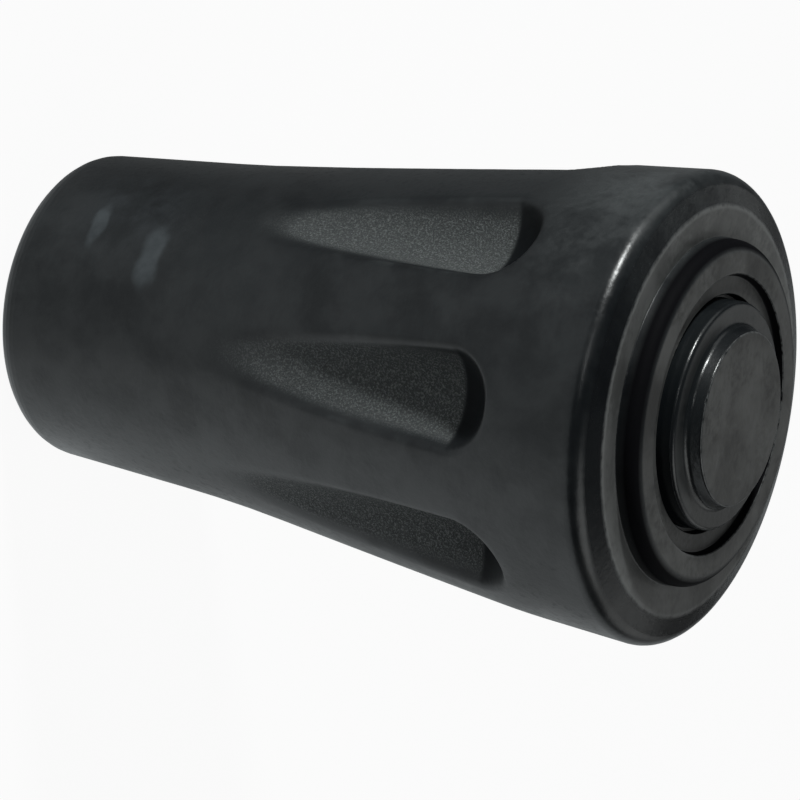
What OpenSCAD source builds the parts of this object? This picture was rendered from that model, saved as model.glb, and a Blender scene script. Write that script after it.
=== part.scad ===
// Rubber tip that pushes over the lower end of a trekking pole.
// The mouth rim lies in the plane Z = 0 and +Z runs along the axis to the ground end.

/* [Body] */
// Length from the mouth rim to the flat land of the ground end
body_len = 46.8; // [44:0.1:58]
// Diameter over the rounded shoulder of the foot
foot_d = 29.6; // [26:0.1:35]
// Diameter of the collar, carried straight on to the mouth rim
collar_d = 20.2; // [18:0.1:22]
// Length of the collar, from the mouth rim to the waist where the skirt starts to flare
collar_len = 15.5; // [10:0.1:18]
// Draft angle of the collar
collar_draft = 3.9; // [0:0.1:6]
// Rise of the flare's middle over a straight line from waist to hip
flare_rise = 0.05; // [0.02:0.01:0.07]
// Height of the foot band, from the hip where the flare ends to the land
band_h = 8.7; // [6:0.1:12]
// Draft angle of the foot band
band_draft = 4.3; // [1:0.1:6]

/* [Edge roundings] */
// Rounding of the outer edge of the mouth rim
rim_round = 2; // [0.5:0.1:2.2]
// Hollow blend between the collar and the flare
waist_blend = 115; // [20:1:150]
// Radius of the slight crown along the middle of the flare
flare_crown = 1500; // [500:10:2000]
// Full blend between the flare and the foot band
hip_blend = 60; // [10:1:90]
// Rounding of the foot's shoulder
shoulder_round = 1.13; // [0.5:0.01:1.4]

/* [Flutes] */
// Number of flutes around the skirt
flute_count = 8; // [5:1:9]
// Radius of a flute's round bottom
flute_round = 3.3; // [2:0.1:4]
// Distance from the mouth rim to the point where a flute runs out
flute_start = 19.4; // [18.5:0.1:28]
// Distance from the land to the closed end of a flute
flute_end_gap = 7.1; // [5:0.1:12]
// Length of a flute's rounded end
flute_end_len = 3; // [1:0.1:4]

/* [Ground end] */
// Width of the shoulder, from the outside of the foot in to the crest
shoulder_w = 2.09; // [1.6:0.01:2.6]
// Height of the crest over the land
crest_h = 0.2; // [0.05:0.01:0.4]
// Slope of the bevel between the shoulder's rounding and the crest, measured from the land
bevel_slope = 18; // [10:1:30]
// Rounding of the crest
crest_round = 0.9; // [0.2:0.1:1.2]
// Width of the land, from the crest in to the tread ring
land_w = 1.91; // [1.2:0.01:2.4]
// Width of the tread ring at the land
ring_w = 2.08; // [1.4:0.01:2.6]
// Draft angle of the ring's outer wall
ring_draft = 2; // [0:0.5:5]
// Height of the tread ring over the land
ring_h = 1.44; // [1:0.01:1.8]
// Rounding of the ring's outer edge
ring_round = 0.8; // [0.2:0.1:0.9]
// Width of the groove inside the ring, down to the narrow slot
groove_w = 1.32; // [0.6:0.01:1.6]
// Draft angle of the groove's outer wall
groove_draft = 14; // [0:1:20]
// Depth of the groove under the top of the ring
groove_depth = 0.5; // [0.2:0.01:0.9]
// Width of the narrow slot between the groove's floor and the button
slot_w = 0.3; // [0.2:0.05:0.8]
// Depth of the slot under the groove's floor
slot_depth = 0.6; // [0.2:0.1:1.2]
// Width of the button's lower step, round the boss
step_w = 1.3; // [0.8:0.1:1.6]
// Height of the button's lower step over the land
button_h = 1.92; // [1.6:0.01:2.4]
// Rounding of the lower step's edge
button_round = 0.3; // [0.1:0.05:0.4]
// Draft angle of the boss
boss_draft = 22; // [0:1:30]
// Height of the boss over the land
boss_h = 2.9; // [2.5:0.1:4]
// Fillet at the foot of the boss
boss_fillet = 0.25; // [0.1:0.05:0.4]
// Rounding of the boss's top edge
boss_round = 0.15; // [0.05:0.05:0.3]

/* [Pole bore] */
// Diameter of the bore that grips the pole's end
bore_d = 11; // [9:0.1:13]
// Length of the straight bore, from the mouth rim, the lead-in included
bore_len = 30; // [20:0.5:32]
// Lead-in chamfer at the mouth
lead_in = 1; // [0.2:0.1:1.2]
// Height of the cone that the pole's end seats on
seat_h = 4; // [2:0.1:5]
// Diameter of the pocket that clears the pole's metal point
pocket_d = 6; // [4.5:0.1:8]
// Depth of the pocket past the seat
pocket_h = 4; // [1:0.1:5]

/* [Hidden] */
$fn = 120;
rubber = [0.09, 0.1, 0.1];
cut_over = 1;     // how far a cutting tool passes beyond the face it opens
arc_turn = 9;     // largest turn of one chord in a rounded corner, in degrees
arc_chords = 4;   // fewest chords in a rounded corner

overall_len = body_len + boss_h;
collar_r = collar_d / 2;
waist_r = collar_r + collar_len * tan(collar_draft);

// The shoulder's sharp corner, where the foot band and the bevel would meet unrounded. The rounding
// between them is as wide as the foot, and its centre lies one rounding under the bevel.
band_normal = [cos(band_draft), -sin(band_draft)];
bevel_normal = [sin(bevel_slope), cos(bevel_slope)];
crest = [foot_d / 2 - shoulder_w, body_len + crest_h];
shoulder_r = foot_d / 2 - shoulder_round;
shoulder_z = (crest * bevel_normal - shoulder_round - shoulder_r * bevel_normal[0]) / bevel_normal[1];
shoulder = [shoulder_r, shoulder_z]
    + (band_normal + bevel_normal) * shoulder_round / (1 + band_normal * bevel_normal);

hip_z = body_len - band_h;
hip_r = shoulder[0] - (shoulder[1] - hip_z) * tan(band_draft);

// The flutes' floors run parallel to the axis, so the radius at which the flare reaches them is theirs.
flute_floor_r = waist_r + (hip_r - waist_r) * (flute_start - collar_len) / (hip_z - collar_len);
flute_axis_r = flute_floor_r + flute_round;
flute_end_z = body_len - flute_end_gap;

// The tread steps in from the crest, width by width, to the boss.
ring_r = crest[0] - land_w;
groove_r = ring_r - ring_w;
slot_r = groove_r - groove_w;
button_r = slot_r - slot_w;
boss_r = button_r - step_w;
ring_top = body_len + ring_h;
groove_floor = ring_top - groove_depth;
slot_floor = groove_floor - slot_depth;
button_top = body_len + button_h;

function unit(v) = v / norm(v);
function turned(v, angle) = [v[0] * cos(angle) - v[1] * sin(angle), v[0] * sin(angle) + v[1] * cos(angle)];
function plan(corner) = [corner[0], corner[1]];

// The arc that rounds one corner [r, z, rounding] between its two neighbours, as points.
function corner_arc(before, corner, after) =
    let (
        to_before = unit(plan(before) - plan(corner)),
        to_after = unit(plan(after) - plan(corner)),
        half_angle = acos(to_before * to_after) / 2,
        centre = plan(corner) + unit(to_before + to_after) * corner[2] / sin(half_angle),
        spoke = plan(corner) + to_before * corner[2] / tan(half_angle) - centre,
        turn = (180 - 2 * half_angle) * sign(cross(to_after, to_before)),
        chords = max(arc_chords, ceil(abs(turn) / arc_turn))
    )
    [for (i = [0 : chords]) centre + turned(spoke, turn * i / chords)];

// A closed outline from corners [r, z, rounding], each rounded by its own radius. 0 keeps it sharp.
function rounded(corners) =
    let (last = len(corners) - 1)
    [
        for (i = [0 : last])
            let (
                corner = corners[i],
                before = corners[i == 0 ? last : i - 1],
                after = corners[i == last ? 0 : i + 1]
            )
            each corner[2] > 0 ? corner_arc(before, corner, after) : [plan(corner)]
    ];

// Half section of the solid body, from the mouth rim round the skirt and the ground end to the axis.
body_section = rounded([
    [0, 0, 0],
    [collar_r, 0, rim_round],
    [waist_r, collar_len, waist_blend],
    [(waist_r + hip_r) / 2 + flare_rise, (collar_len + hip_z) / 2, flare_crown],
    [hip_r, hip_z, hip_blend],
    [shoulder[0], shoulder[1], shoulder_round],
    [crest[0], crest[1], crest_round],
    [ring_r, body_len, 0],
    [ring_r - ring_h * tan(ring_draft), ring_top, ring_round],
    [groove_r, ring_top, 0],
    [groove_r - groove_depth * tan(groove_draft), groove_floor, 0],
    [slot_r, groove_floor, 0],
    [slot_r, slot_floor, 0],
    [button_r, slot_floor, 0],
    [button_r, button_top, button_round],
    [boss_r, button_top, boss_fillet],
    [boss_r - (boss_h - button_h) * tan(boss_draft), overall_len, boss_round],
    [0, overall_len, 0],
]);

// Half section of the tool that leaves one flute: a round bar with a half ellipse for its end.
flute_section = concat(
    [[0, 0], [flute_round, 0]],
    [
        for (angle = [0 : arc_turn : 90])
            [flute_round * cos(angle), flute_end_z - flute_end_len * (1 - sin(angle))]
    ]
);

module flutes() {
    for (i = [0 : flute_count - 1])
        rotate([0, 0, i * 360 / flute_count])
            translate([flute_axis_r, 0, 0])
                rotate_extrude()
                    polygon(flute_section);
}

module pole_bore() {
    translate([0, 0, -cut_over])
        cylinder(h = bore_len + cut_over, d = bore_d);
    translate([0, 0, -cut_over])
        cylinder(h = lead_in + cut_over, r1 = bore_d / 2 + lead_in + cut_over, r2 = bore_d / 2);
    translate([0, 0, bore_len])
        cylinder(h = seat_h, d1 = bore_d, d2 = pocket_d);
    translate([0, 0, bore_len])
        cylinder(h = seat_h + pocket_h, d = pocket_d);
}

module rubber_tip() {
    color(rubber)
        difference() {
            rotate_extrude()
                polygon(body_section);
            flutes();
            pole_bore();
        }
}

rubber_tip();
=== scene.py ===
import math

import bpy
import numpy as np
from mathutils import Matrix, Vector


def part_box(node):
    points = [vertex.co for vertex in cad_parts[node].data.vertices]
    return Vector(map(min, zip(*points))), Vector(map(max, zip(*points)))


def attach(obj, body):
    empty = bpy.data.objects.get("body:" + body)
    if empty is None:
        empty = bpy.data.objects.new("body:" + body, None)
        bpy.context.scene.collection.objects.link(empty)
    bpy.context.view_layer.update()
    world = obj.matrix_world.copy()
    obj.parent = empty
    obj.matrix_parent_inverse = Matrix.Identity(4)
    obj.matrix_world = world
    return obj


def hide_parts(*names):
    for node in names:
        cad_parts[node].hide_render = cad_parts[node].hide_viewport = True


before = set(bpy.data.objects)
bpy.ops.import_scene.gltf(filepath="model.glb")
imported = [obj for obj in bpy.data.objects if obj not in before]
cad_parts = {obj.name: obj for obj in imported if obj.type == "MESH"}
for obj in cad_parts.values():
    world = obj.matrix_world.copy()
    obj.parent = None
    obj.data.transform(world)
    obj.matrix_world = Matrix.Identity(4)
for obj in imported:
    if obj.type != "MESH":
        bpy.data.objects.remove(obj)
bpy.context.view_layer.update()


# ---------------------------------------------------------------------------------------------
# The moulding. The whole tip is one shot of black rubber, open at the mouth that takes the pole.
# Its mould is turned: a drafted collar, a flared skirt and a foot with a stepped tread. Eight
# spark-eroded inserts leave the grainy flutes in the skirt, and a steel core leaves the blind bore.

mm = 0.001
tip_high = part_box("rubber_tip")[1]
ground_end = tip_high.z                     # top of the central boss
foot_r = tip_high.y                         # over the rounded shoulder
land = ground_end - 2.9 * mm                # the flat that carries the raised tread

collar_r = 10.1 * mm                        # carried straight on to the mouth rim
collar_draft = math.radians(3.9)
waist_z = 15.5 * mm                         # where the collar ends and the flare begins
waist_r = collar_r + waist_z * math.tan(collar_draft)
flare_rise = 0.05 * mm                      # of the flare's middle over a straight line
hip_z = land - 8.7 * mm                     # where the flare ends and the foot band begins
band_draft = math.radians(4.3)
shoulder_round = 1.13 * mm
bevel_slope = math.radians(18)
crest_r = 12.71 * mm
crest = Vector((crest_r, land + 0.2 * mm))

# The shoulder's sharp corner, where the foot band and the bevel would meet unrounded.
band_normal = Vector((math.cos(band_draft), -math.sin(band_draft)))
bevel_normal = Vector((math.sin(bevel_slope), math.cos(bevel_slope)))
round_r = foot_r - shoulder_round
round_z = (crest.dot(bevel_normal) - shoulder_round - round_r * bevel_normal.x) / bevel_normal.y
shoulder = Vector((round_r, round_z)) + (band_normal + bevel_normal) * (
    shoulder_round / (1 + band_normal.dot(bevel_normal)))
hip_r = shoulder.x - (shoulder.y - hip_z) * math.tan(band_draft)

# Inside the crest the tread steps up: a ring with a groove and a narrow slot in it, and a button
# that carries the boss.
ring_r = 10.8 * mm
ring_top_r = 10.75 * mm
ring_top = land + 1.44 * mm
groove_r = 8.72 * mm
groove_floor_r = 8.6 * mm
groove_floor = ring_top - 0.5 * mm
slot_r = 7.4 * mm
slot_floor = groove_floor - 0.6 * mm
button_r = 7.1 * mm
button_top = land + 1.92 * mm
boss_foot_r = 5.66 * mm
boss_r = 5.4 * mm

bore_r = 5.5 * mm
lead_in = 1 * mm
bore_end = 30 * mm
seat_end = bore_end + 4 * mm
pocket_r = 3 * mm
pocket_end = seat_end + 4 * mm

# Corners of the half section from the boss round the outside and up the bore: radius, height, rounding.
corners = [
    (0, ground_end, 0),
    (boss_r, ground_end, 0.16 * mm),
    (boss_foot_r, button_top, 0.42 * mm),
    (button_r, button_top, 0.3 * mm),
    (button_r, slot_floor, 0.08 * mm),
    (slot_r, slot_floor, 0.08 * mm),
    (slot_r, groove_floor, 0.1 * mm),
    (groove_floor_r, groove_floor, 0.12 * mm),
    (groove_r, ring_top, 0.1 * mm),
    (ring_top_r, ring_top, 0.8 * mm),
    (ring_r, land, 0.06 * mm),
    (crest.x, crest.y, 0.9 * mm),
    (shoulder.x, shoulder.y, shoulder_round),
    (hip_r, hip_z, 60 * mm),
    ((hip_r + waist_r) / 2 + flare_rise, (hip_z + waist_z) / 2, 1500 * mm),
    (waist_r, waist_z, 115 * mm),
    (collar_r, 0, 2 * mm),
    (bore_r + lead_in, 0, 0.15 * mm),
    (bore_r, lead_in, 0.3 * mm),
    (bore_r, bore_end, 0.3 * mm),
    (pocket_r, seat_end, 0.3 * mm),
    (pocket_r, pocket_end, 0.4 * mm),
    (0, pocket_end, 0),
]

flute_count = 8
flute_r = 3.3 * mm                          # radius of a flute's round bottom
flute_start = 19.4 * mm                     # where a flute runs out towards the mouth
flute_close = land - 7.1 * mm               # how far towards the foot its rounded end reaches
flute_nose = 3 * mm                         # length of the rounded end
flute_floor_r = waist_r + (hip_r - waist_r) * (flute_start - waist_z) / (hip_z - waist_z)
flute_axis_r = flute_floor_r + flute_r
lip_round = 0.4 * mm
flare_slope = math.radians(7.7)


def rounded_section(profile, chord_turn=math.radians(12)):
    """Points of the half section, with each inner corner turned on its own radius."""
    points = [Vector(profile[0][:2])]
    for before, corner, after in zip(profile, profile[1:], profile[2:]):
        here = Vector(corner[:2])
        to_before = (Vector(before[:2]) - here).normalized()
        to_after = (Vector(after[:2]) - here).normalized()
        half_angle = to_before.angle(to_after) / 2
        centre = here + (to_before + to_after).normalized() * (corner[2] / math.sin(half_angle))
        reach = corner[2] / math.tan(half_angle)
        first = here + to_before * reach - centre
        turn = first.angle_signed(here + to_after * reach - centre)
        chords = max(3, math.ceil(abs(turn) / chord_turn))
        for chord in range(chords + 1):
            angle = -turn * chord / chords
            spoke = Vector((first.x * math.cos(angle) - first.y * math.sin(angle),
                            first.x * math.sin(angle) + first.y * math.cos(angle)))
            points.append(centre + spoke)
    points.append(Vector(profile[-1][:2]))
    return points


inside_r = collar_r * 0.9                   # the outer skin lies wholly outside this radius
inside_row = 4 * mm                         # widest gap between rows on the tread and in the bore
plain_row = 1.2 * mm
flute_row = 0.36 * mm
flute_end_row = 0.14 * mm


def row_gap(point):
    """Rows lie close where the flutes are pressed in, closest round their closed ends."""
    r, z = point
    if r < inside_r:
        return inside_row
    if flute_close - 1.4 * flute_nose < z < flute_close + lip_round:
        return flute_end_row
    if flute_start - 3 * mm < z < flute_close:
        return flute_row
    return plain_row


def with_rows(points, edge_row=0.05 * mm):
    """The section with rows added along its straights, and one close to each end of a straight."""
    rows = [points[0]]
    for a, b in zip(points, points[1:]):
        length = (b - a).length
        if length > 6 * edge_row:
            reach = edge_row
            while reach < length - 2 * edge_row:
                rows.append(a.lerp(b, reach / length))
                reach += row_gap(rows[-1])
            rows.append(a.lerp(b, 1 - edge_row / length))
        rows.append(b)
    return rows


section = with_rows(rounded_section(corners))
mesh = bpy.data.meshes.new("rubber_moulding")
mesh.from_pydata([(p.x, 0, p.y) for p in section], [(i, i + 1) for i in range(len(section) - 1)], [])
moulding = bpy.data.objects.new("rubber_moulding", mesh)
bpy.context.scene.collection.objects.link(moulding)
bpy.ops.object.select_all(action="DESELECT")
moulding.select_set(True)
bpy.context.view_layer.objects.active = moulding
columns_per_flute = 36
bpy.ops.object.mode_set(mode="EDIT")
bpy.ops.mesh.select_all(action="SELECT")
bpy.ops.mesh.spin(steps=columns_per_flute * flute_count, angle=math.tau, center=(0, 0, 0), axis=(0, 0, 1))
bpy.ops.mesh.select_all(action="SELECT")
bpy.ops.mesh.remove_doubles(threshold=0.001 * mm)
bpy.ops.mesh.normals_make_consistent(inside=False)
bpy.ops.object.mode_set(mode="OBJECT")

# Columns close up towards the flutes' lips, then the flutes are pressed into the skirt.
place = np.empty(len(mesh.vertices) * 3)
mesh.vertices.foreach_get("co", place)
place = place.reshape(-1, 3)
radius = np.hypot(place[:, 0], place[:, 1])
around = np.arctan2(place[:, 1], place[:, 0])
height = place[:, 2]
pitch = math.tau / flute_count
flute = np.round(around / pitch)
share = (around / pitch - flute) * 2        # -1 to 1 across the stretch of skirt that one flute has
gather = 0.6                                # 0 leaves the columns even, 1 draws them to the lips
across = pitch / 2 * (share + gather * np.sin(math.tau * share) / math.tau)
around = flute * pitch + across

skirt = (radius > inside_r) & (height > flute_start - 6 * mm) & (height < flute_close + 2 * mm)
skin_r = radius[skirt]
skin_z = height[skirt]
skin_turn = across[skirt]


def rubber_left(r):
    """How deep a point lies in the rubber, with the flutes taken out and their lips rounded."""
    side = np.hypot(r * np.cos(skin_turn) - flute_axis_r, r * np.sin(skin_turn))
    nose = np.clip((skin_z - (flute_close - flute_nose)) / flute_nose, 0, None)
    reach = np.sqrt((side / flute_r) ** 2 + nose ** 2)
    steep = np.sqrt((side / flute_r ** 2) ** 2 + (nose / flute_nose) ** 2) / np.maximum(reach, 1e-9)
    clear = (reach - 1) / np.maximum(steep, 1e-9)
    under = (skin_r - r) * math.cos(flare_slope)
    a = np.clip(lip_round - under, 0, None)
    b = np.clip(lip_round - clear, 0, None)
    return np.where((a > 0) & (b > 0), lip_round - np.hypot(a, b), np.minimum(under, clear))


inner = np.full_like(skin_r, flute_floor_r - 0.5 * mm)
outer = skin_r.copy()
for _ in range(40):
    middle = (inner + outer) / 2
    solid = rubber_left(middle) > 0
    inner = np.where(solid, middle, inner)
    outer = np.where(solid, outer, middle)
depth = np.zeros_like(radius)
depth[skirt] = skin_r - np.minimum((inner + outer) / 2, skin_r)
radius -= depth
place[:, 0] = radius * np.cos(around)
place[:, 1] = radius * np.sin(around)
mesh.vertices.foreach_set("co", place.ravel())
mesh.update()
bpy.ops.object.shade_smooth()

# The finish differs from place to place, so marks laid on the mesh tell the material where it is.
facing = np.empty(len(mesh.vertices) * 3)
mesh.vertices.foreach_get("normal", facing)
lean = facing.reshape(-1, 3)[:, 2]          # 1 where the surface faces the ground, 0 on a side wall


def fade(value, start, end):
    """0 before the start and 1 past the end. An end below the start turns it round."""
    return np.clip((value - start) / (end - start), 0, 1)


def edge(turned_to, above, reach):
    """1 along a turned edge, falling to 0 at the given reach from it."""
    return (height > above) * fade(np.abs(radius - turned_to), reach, 0)


down_flute = np.zeros_like(depth)            # 0 at a flute's lip and 1 along the middle of its floor
down_flute[skirt] = depth[skirt] / np.maximum(skin_r - flute_floor_r, 0.05 * mm)
pressed = fade(depth, 0.02 * mm, 0.3 * mm) * np.minimum(0.55 + depth / (4 * mm), 1)
insert_face = fade(down_flute, 0.15, 0.55)
end_wall = fade(-lean, 0.03, 0.15)
lip = fade(depth, 0, 0.02 * mm) * fade(depth, 0.16 * mm, 0.08 * mm) * fade(height, 24 * mm, 28 * mm)
rim = fade(height, 1.4 * mm, 0.4 * mm) * (radius > 8 * mm)
flat = fade(lean, 0.985, 0.997) * (height > land - 0.1 * mm)
# the button's step, kept darker as painted shade beside the boss
button_flat = (radius > boss_r + 0.3 * mm) & (radius < button_r + 0.1 * mm)
beyond_crest = radius > crest_r
bevel = beyond_crest * fade(lean, 0.9, 0.94) * fade(lean, 0.975, 0.955)
bright_walls = (height > land - 1.4 * mm) & (lean > -0.05) & (beyond_crest | (radius < button_r + 0.1 * mm))
# the walls that take painted shade
shaded_walls = (height > slot_floor - 0.1 * mm) & (lean > -0.2) & (radius > button_r + 0.1 * mm)
shaded_walls &= radius < ring_r + 0.04 * mm

marks = {
    # the grain that the spark-eroded inserts leave, down from a flute's lips
    "eroded": pressed * insert_face * (1 - end_wall),
    # the closed end of a flute, where it turns down, left without grain and near black as painted shade
    "flute_end": pressed * end_wall,
    # the flutes' lips and the mouth rim, rubbed by hands, the lips paler also as a painted highlight along
    # them
    "rubbed_and_sheen": np.maximum(lip * (1 - end_wall), 0.6 * rim),
    # the bevel and the boss's wall, where the mould is polished, and a little of the roundings beside them
    "polished": bright_walls * fade(lean, 0.975, 0.955) * np.where(beyond_crest ^ (lean > 0.9), 0.3, 0.9),
    # the flats of the tread, scuffed by the ground and paler partly as painted light on them; the button's
    # step gets only a quarter, staying darker as painted shade beside the boss
    "scuffed_and_lit": flat * np.where(button_flat, 0.25, 1),
    # the flat outside the ring, trodden palest, its paleness partly painted light
    "trodden_and_lit": flat * (radius > ring_r),
    # worn edges: the crest, the ring's inner edge and the boss's edge, paler also as a painted highlight
    # along them
    "wear_and_highlight": edge(crest_r, land, 0.2 * mm) + edge(groove_r - 0.02 * mm, ring_top - 0.06 * mm, 0.12 * mm)
        + edge(boss_r, ground_end - 0.05 * mm, 0.12 * mm),
    # painted shade on the walls of ring, groove and slot and on some of the bevel, which lie in shadow or
    # mirror the dark; duller and less glossy there too
    "painted_shade": shaded_walls * fade(lean, 0.98, 0.88) + 0.3 * bevel,
}
for name, amount in marks.items():
    mark = mesh.attributes.new(name, "FLOAT", "POINT")
    mark.data.foreach_set("value", amount.astype(np.float32))

# The finish: clouded satin black, shinier where the mould is polished, grainy grey in the flutes
# and paler where worn, with two smears of release agent on the collar and a pale bloom on the foot.
# Painted light rides on it too: highlights along worn edges, lips and grains, light on the tread's
# flats and the foot's top, and shade in the recesses, on the bevel and at the flutes' closed ends.
rubber = bpy.data.materials.new("black_moulded_rubber")
rubber.use_nodes = True
nodes = rubber.node_tree.nodes
links = rubber.node_tree.links
shader = nodes["Principled BSDF"]
shader.inputs["IOR"].default_value = 1.5
where = nodes.new("ShaderNodeTexCoord")


def grain(size, detail=2.0, roughness=0.5, distortion=0.0):
    """A noise whose cells are about the given size."""
    noise = nodes.new("ShaderNodeTexNoise")
    noise.inputs["Scale"].default_value = 1 / size
    noise.inputs["Detail"].default_value = detail
    noise.inputs["Roughness"].default_value = roughness
    noise.inputs["Distortion"].default_value = distortion
    links.new(where.outputs["Object"], noise.inputs["Vector"])
    return noise.outputs["Fac"]


def ramp(value, low, high, to_low=0.0, to_high=1.0):
    """The value carried from one range to another and held at its ends."""
    span = nodes.new("ShaderNodeMapRange")
    span.interpolation_type = "SMOOTHSTEP"
    span.inputs["From Min"].default_value = low
    span.inputs["From Max"].default_value = high
    span.inputs["To Min"].default_value = to_low
    span.inputs["To Max"].default_value = to_high
    links.new(value, span.inputs["Value"])
    return span.outputs["Result"]


def times(a, b):
    """One value times another, or times a plain number."""
    product = nodes.new("ShaderNodeMath")
    product.operation = "MULTIPLY"
    links.new(a, product.inputs[0])
    if isinstance(b, float):
        product.inputs[1].default_value = b
    else:
        links.new(b, product.inputs[1])
    return product.outputs["Value"]


def blend(factor, a, b, kind="FLOAT"):
    """A mix of two values or colours, each a plain one or an output."""
    mix = nodes.new("ShaderNodeMix")
    mix.data_type = kind
    links.new(factor, mix.inputs["Factor"])
    for name, value in (("A", a), ("B", b)):
        socket = [s for s in mix.inputs if s.name == name and s.enabled][0]
        if isinstance(value, bpy.types.NodeSocket):
            links.new(value, socket)
        else:
            socket.default_value = value
    return [s for s in mix.outputs if s.enabled][0]


def tint(factor, a, b):
    """A mix of two colours."""
    return blend(factor, a, b, "RGBA")


def mark_of(name):
    """One of the marks laid on the mesh."""
    attribute = nodes.new("ShaderNodeAttribute")
    attribute.attribute_name = name
    return attribute.outputs["Fac"]


def patch(middle, half_width, half_height, softness=1.0, wander=0.8 * mm):
    """A ragged patch on the skin: 1 within it and 0 outside, with the given softness of edge."""
    stray = nodes.new("ShaderNodeTexNoise")
    stray.inputs["Scale"].default_value = 1 / (2.2 * mm)
    links.new(where.outputs["Object"], stray.inputs["Vector"])
    from_middle = nodes.new("ShaderNodeVectorMath")
    from_middle.operation = "MULTIPLY_ADD"
    from_middle.inputs[1].default_value = (2 * wander, 2 * wander, 2 * wander)
    from_middle.inputs[2].default_value = [-at - wander for at in middle]
    links.new(stray.outputs["Color"], from_middle.inputs[0])
    strayed = nodes.new("ShaderNodeVectorMath")
    strayed.operation = "ADD"
    links.new(where.outputs["Object"], strayed.inputs[0])
    links.new(from_middle.outputs["Vector"], strayed.inputs[1])
    scaled = nodes.new("ShaderNodeVectorMath")
    scaled.operation = "DIVIDE"
    scaled.inputs[1].default_value = (half_width, half_width, half_height)
    links.new(strayed.outputs["Vector"], scaled.inputs[0])
    length = nodes.new("ShaderNodeVectorMath")
    length.operation = "LENGTH"
    links.new(scaled.outputs["Vector"], length.inputs[0])
    return ramp(length.outputs["Value"], 1 - softness, 1, 1, 0)


eroded = mark_of("eroded")
flute_end = mark_of("flute_end")
rubbed_and_sheen = mark_of("rubbed_and_sheen")
polished = mark_of("polished")
scuffed_and_lit = mark_of("scuffed_and_lit")
trodden_and_lit = mark_of("trodden_and_lit")
wear_and_highlight = mark_of("wear_and_highlight")
painted_shade = mark_of("painted_shade")
spark = grain(0.12 * mm, detail=3, roughness=0.7)
cloud = grain(3.6 * mm, detail=4, roughness=0.6, distortion=0.15)
wide_cloud = grain(9 * mm, detail=2)
mottle = grain(0.45 * mm, detail=3, roughness=0.6)

deep_black = (0.0035, 0.0047, 0.0060, 1)
clouded_black = (0.0070, 0.0090, 0.0105, 1)
greyed_black = (0.0085, 0.0105, 0.0120, 1)
film_grey = (0.022, 0.027, 0.032, 1)
smear_grey = (0.045, 0.054, 0.060, 1)
bloom_light_grey = (0.046, 0.051, 0.053, 1)
rubbed_sheen_grey = (0.034, 0.039, 0.041, 1)
skin_tone = tint(ramp(cloud, 0.35, 0.68), deep_black, clouded_black)
skin_tone = tint(ramp(wide_cloud, 0.35, 0.65), skin_tone, greyed_black)
film = times(patch((-7.5 * mm, -7.4 * mm, 9 * mm), 5 * mm, 6 * mm), ramp(cloud, 0.35, 0.6))
skin_tone = tint(times(film, 0.5), skin_tone, film_grey)
for smear in (
    patch((-6.4 * mm, -8.4 * mm, 6.7 * mm), 1.9 * mm, 0.9 * mm, 0.4),
    patch((-5.0 * mm, -9.6 * mm, 11.8 * mm), 2.9 * mm, 1.2 * mm, 0.6),
):
    smear = times(smear, ramp(cloud, 0.3, 0.6, 0.45, 1))
    skin_tone = tint(smear, skin_tone, smear_grey)
# a pale bloom on the foot's top side, partly painted light there and along the shoulder
bloom_and_light = patch((-13.6 * mm, -5 * mm, 44 * mm), 15 * mm, 7 * mm)
bloom_and_light = times(bloom_and_light, ramp(mottle, 0.35, 0.65, 0.7, 1))
bloom_and_light = times(bloom_and_light, ramp(cloud, 0.35, 0.6, 0.4, 1))
skin_tone = tint(bloom_and_light, skin_tone, bloom_light_grey)
# the rubbed lips and rim paler: wear, and a painted highlight along the lips
skin_tone = tint(times(rubbed_and_sheen, ramp(cloud, 0.45, 0.6, 0, 0.8)), skin_tone, rubbed_sheen_grey)

pit_grey = (0.064, 0.069, 0.070, 1)
grain_glint_grey = (0.128, 0.142, 0.142, 1)
flute_end_shade_black = (0.004, 0.005, 0.006, 1)
painted_shade_black = (0.004, 0.004, 0.005, 1)
scuff_lit_dark = (0.024, 0.024, 0.024, 1)
scuff_lit_pale = (0.066, 0.067, 0.066, 1)
trodden_lit_dark = (0.075, 0.077, 0.076, 1)
trodden_lit_pale = (0.130, 0.133, 0.132, 1)
wear_highlight_grey = (0.13, 0.135, 0.135, 1)
grit = ramp(spark, 0.46, 0.66)
worn_cloud = blend(ramp(mottle, 0.3, 0.7), ramp(cloud, 0.38, 0.62), ramp(wide_cloud, 0.4, 0.6))
# grainy grey in the flutes; its pale grains are partly painted glints
tone = tint(eroded, skin_tone, tint(grit, pit_grey, grain_glint_grey))
# painted shade at the flutes' closed ends
tone = tint(flute_end, tone, flute_end_shade_black)
# painted shade in the recesses and on the bevel
tone = tint(painted_shade, tone, painted_shade_black)
# the scuffed flats: wear, and partly painted light; the button's step darker as painted shade
tone = tint(scuffed_and_lit, tone, tint(worn_cloud, scuff_lit_dark, scuff_lit_pale))
# the trodden flat: wear, and partly painted light on it
tone = tint(trodden_and_lit, tone, tint(worn_cloud, trodden_lit_dark, trodden_lit_pale))
# worn edges paler: wear, and a painted highlight along them
tone = tint(times(wear_and_highlight, ramp(mottle, 0.3, 0.6)), tone, wear_highlight_grey)
links.new(tone, shader.inputs["Base Color"])

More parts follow.
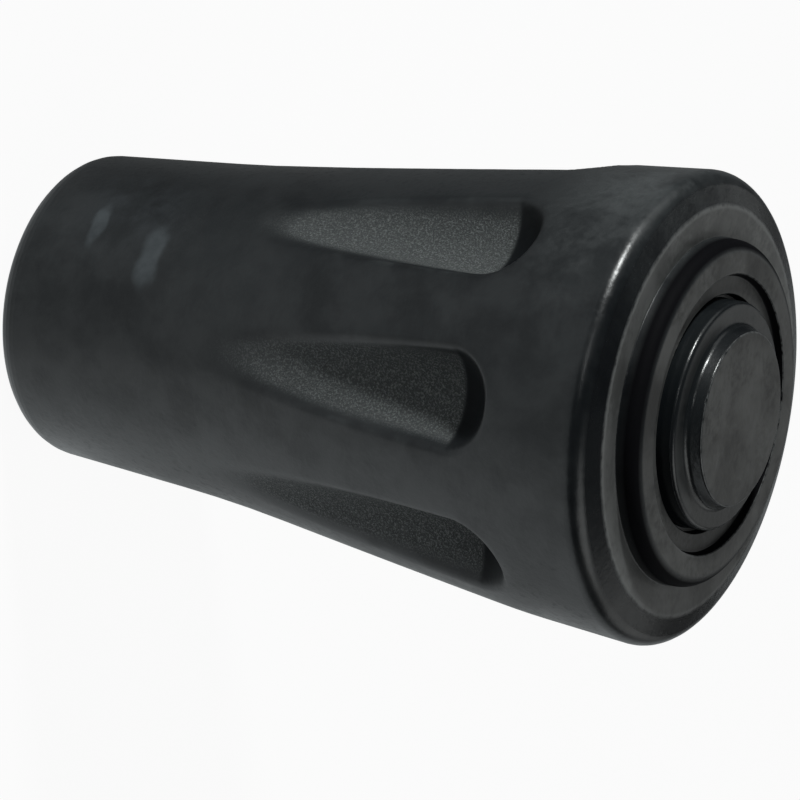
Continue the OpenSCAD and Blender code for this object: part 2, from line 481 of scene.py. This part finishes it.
dullness = blend(ramp(cloud, 0.3, 0.7), 0.29, 0.40)
dullness = blend(ramp(mottle, 0.5, 0.75), dullness, 0.44)
dullness = blend(rubbed_and_sheen, dullness, 0.28)
dullness = blend(eroded, dullness, blend(grit, 0.7, 0.42))
dullness = blend(flute_end, dullness, 0.7)
dullness = blend(painted_shade, dullness, 0.65)
dullness = blend(scuffed_and_lit, dullness, 0.5)
dullness = blend(polished, dullness, 0.25)
dullness = blend(wear_and_highlight, dullness, 0.42)
links.new(dullness, shader.inputs["Roughness"])
shine = blend(ramp(cloud, 0.3, 0.7), 0.39, 0.59)
shine = blend(eroded, shine, blend(grit, 0.22, 0.9))
shine = blend(flute_end, shine, 0.10)
shine = blend(painted_shade, shine, 0.04)
links.new(shine, shader.inputs["Specular IOR Level"])

pits = nodes.new("ShaderNodeBump")
pits.inputs["Distance"].default_value = 0.2 * mm
links.new(spark, pits.inputs["Height"])
links.new(blend(eroded, 0.02, 1.0), pits.inputs["Strength"])
waves = nodes.new("ShaderNodeBump")
waves.inputs["Distance"].default_value = 0.035 * mm
waves.inputs["Strength"].default_value = 0.5
links.new(mottle, waves.inputs["Height"])
links.new(pits.outputs["Normal"], waves.inputs["Normal"])
links.new(waves.outputs["Normal"], shader.inputs["Normal"])
mesh.materials.append(rubber)

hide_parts("rubber_tip")
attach(moulding, "root")


# ---------------------------------------------------------------------------------------------
# The studio. The tip stands on its mouth on white card. One small bright lamp rakes across the
# flutes, a weak one lights the near side, and four soft boxes fill the flats and the shadows.

# Directions are told from the tip: "up" and "near" are where the view's top and the camera lie.
swing = math.radians(-3.3)
up = Vector((-math.cos(swing), -math.sin(swing), 0))
near_side = Vector((math.sin(swing), -math.cos(swing), 0))
over = Vector((0, 0, 1))

bpy.ops.mesh.primitive_plane_add(size=4, location=(0, 0, 0))
floor = bpy.context.object
floor.name = "floor"
card = bpy.data.materials.new("white_card")
card.use_nodes = True
card_nodes = card.node_tree.nodes
card_links = card.node_tree.links
matt = card_nodes["Principled BSDF"]
matt.inputs["Base Color"].default_value = (0.8, 0.8, 0.8, 1)
matt.inputs["Roughness"].default_value = 0.9


def card_sum(operation, *terms):
    """One Math node of the card, fed with outputs and plain numbers."""
    node = card_nodes.new("ShaderNodeMath")
    node.operation = operation
    for socket, term in zip(node.inputs, terms):
        if isinstance(term, bpy.types.NodeSocket):
            card_links.new(term, socket)
        else:
            socket.default_value = term
    return node.outputs["Value"]


def card_span(value, start, end, low, high):
    """The value carried from one range to another and held at its ends."""
    span = card_nodes.new("ShaderNodeMapRange")
    span.interpolation_type = "SMOOTHSTEP"
    for name, bound in (("From Min", start), ("From Max", end), ("To Min", low), ("To Max", high)):
        span.inputs[name].default_value = bound
    card_links.new(value, span.inputs["Value"])
    return span.outputs["Result"]


# The camera sees the card nearly white. In the rubber's gloss the card glows a little blue, with
# painted shade towards the far side and painted light opposite.
ray = card_nodes.new("ShaderNodeLightPath").outputs
spot = card_nodes.new("ShaderNodeTexCoord")
outwards = card_nodes.new("ShaderNodeVectorMath")
outwards.operation = "NORMALIZE"
card_links.new(spot.outputs["Object"], outwards.inputs[0])
far_side = card_nodes.new("ShaderNodeVectorMath")
far_side.operation = "DOT_PRODUCT"
far_side.inputs[1].default_value = (-0.836, 0.549, 0)
card_links.new(outwards.outputs["Vector"], far_side.inputs[0])
farness = far_side.outputs["Value"]
# painted light and shade on the card, seen only in reflections
painted_card_light = card_sum("ADD", card_span(farness, 0.95, 0.05, 0.08, 0.52), card_span(farness, -0.65, -1.0, 0, 0.45))
level = card_sum("MAXIMUM", painted_card_light, ray["Is Camera Ray"])
mirrored = card_sum("MULTIPLY", ray["Is Glossy Ray"], 0.8)
seen = card_sum("MULTIPLY_ADD", ray["Is Camera Ray"], 0.94, mirrored)
card_tint = card_nodes.new("ShaderNodeMix")
card_tint.data_type = "RGBA"
card_links.new(ray["Is Camera Ray"], card_tint.inputs["Factor"])
for name, value in (("A", (0.92, 0.98, 1, 1)), ("B", (1, 1, 1, 1))):
    [s for s in card_tint.inputs if s.name == name and s.enabled][0].default_value = value
glow = card_nodes.new("ShaderNodeEmission")
card_links.new([s for s in card_tint.outputs if s.enabled][0], glow.inputs["Color"])
card_links.new(level, glow.inputs["Strength"])
sheet = card_nodes.new("ShaderNodeMixShader")
card_links.new(seen, sheet.inputs["Fac"])
card_links.new(matt.outputs["BSDF"], sheet.inputs[1])
card_links.new(glow.outputs["Emission"], sheet.inputs[2])
card_links.new(sheet.outputs["Shader"], card_nodes["Material Output"].inputs["Surface"])
floor.data.materials.append(card)

# The air lights the tip a little, and the camera sees it white.
air_light = 0.035
air_seen = 0.92
world = bpy.data.worlds.new("studio_air")
bpy.context.scene.world = world
world.use_nodes = True
air = world.node_tree.nodes["Background"]
air.inputs["Color"].default_value = (1, 1, 1, 1)
look = world.node_tree.nodes.new("ShaderNodeLightPath")
pale = world.node_tree.nodes.new("ShaderNodeMath")
pale.operation = "MULTIPLY_ADD"
pale.inputs[1].default_value = air_seen
pale.inputs[2].default_value = air_light
world.node_tree.links.new(look.outputs["Is Camera Ray"], pale.inputs[0])
world.node_tree.links.new(pale.outputs["Value"], air.inputs["Strength"])


def soft_box(name, towards, distance, size, power):
    """A square lamp that faces the tip's middle from the given direction."""
    lamp = bpy.data.lights.new(name, "AREA")
    lamp.shape = "SQUARE"
    lamp.size = size
    lamp.energy = power
    lamp.color = (0.97, 1, 0.99)
    stand = bpy.data.objects.new(name, lamp)
    bpy.context.scene.collection.objects.link(stand)
    way = (up * towards[0] + near_side * towards[1] + over * towards[2]).normalized()
    stand.location = Vector((0, 0, 0.025)) + way * distance
    stand.rotation_euler = (-way).to_track_quat("-Z", "Y").to_euler()


soft_box("key", (0.85, 0.36, 0.39), distance=0.4, size=0.04, power=1.22)
soft_box("side", (0.28, 0.82, 0.49), distance=0.4, size=0.04, power=0.07)
soft_box("far_top", (0.83, -0.25, 0.42), distance=0.5, size=0.25, power=0.12)
soft_box("lower", (-0.57, 0.0, 0.82), distance=0.5, size=0.3, power=0.42)
soft_box("behind", (0.0, -0.87, 0.5), distance=0.5, size=0.3, power=0.13)
soft_box("behind_lower", (-0.61, -0.61, 0.5), distance=0.5, size=0.3, power=0.18)

# The camera looks down on the ground end, turned on its side so that the tip lies across the view.
lens = bpy.data.cameras.new("camera")
camera = bpy.data.objects.new("camera", lens)
bpy.context.scene.collection.objects.link(camera)
lens.sensor_width = 36
lens.lens = 162.44
bearing = math.radians(8.584)
pitch_down = math.radians(30.18)
roll = math.radians(100.424)
aim = Vector((2.580 * mm, -0.389 * mm, 25.779 * mm))
camera_distance = 231.68 * mm
level_share = math.cos(pitch_down)
forward = Vector((math.sin(bearing) * level_share, math.cos(bearing) * level_share, -math.sin(pitch_down)))
camera.location = aim - forward * camera_distance
facing_aim = forward.to_track_quat("-Z", "Y").to_matrix()
camera.rotation_euler = (facing_aim @ Matrix.Rotation(roll, 3, "Z")).to_euler()
bpy.context.scene.camera = camera
bpy.context.scene.view_settings.view_transform = "Standard"
